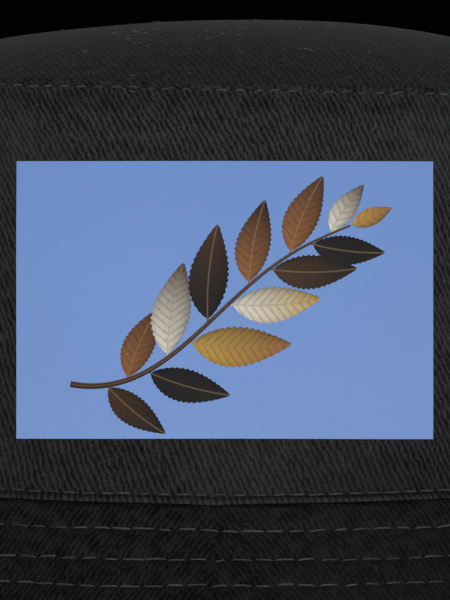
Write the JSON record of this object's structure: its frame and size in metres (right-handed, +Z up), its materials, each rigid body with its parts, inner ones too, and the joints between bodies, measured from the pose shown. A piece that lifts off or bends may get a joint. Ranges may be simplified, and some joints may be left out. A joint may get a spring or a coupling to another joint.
{
  "type": "bucket hat",
  "caption": "Black cotton twill bucket hat with a domed oval tip, upright side panels, stitched sloping brim and a printed front.",
  "frame": {"origin": "on the ground, under the middle of the crown and brim", "axes": "+Z up, -Y towards the front that carries the print, +X to the right of someone who looks at the front"},
  "size_m": [0.2606, 0.2787, 0.1388],
  "materials": {
    "twill": "matte cotton twill",
    "thread": "spun polyester sewing thread",
    "inner_cloth": "matte cotton",
    "label_satin": "satin ribbon",
    "print_ink": "satin ink film on cloth"
  },
  "bodies": {
    "root": {"crown_tip": "twill", "side_panel_front": "twill", "side_panel_back": "twill", "brim_upper_right": "twill", "brim_upper_left": "twill", "brim_under_right": "twill", "brim_under_left": "twill", "sweatband": "inner_cloth", "top_seam_tape": "inner_cloth", "side_tape_right": "inner_cloth", "side_tape_left": "inner_cloth", "eyelet_front_right": "thread", "eyelet_back_right": "thread", "eyelet_front_left": "thread", "eyelet_back_left": "thread", "size_label": "label_satin", "print_panel": "print_ink"}
  },
  "joints": []
}
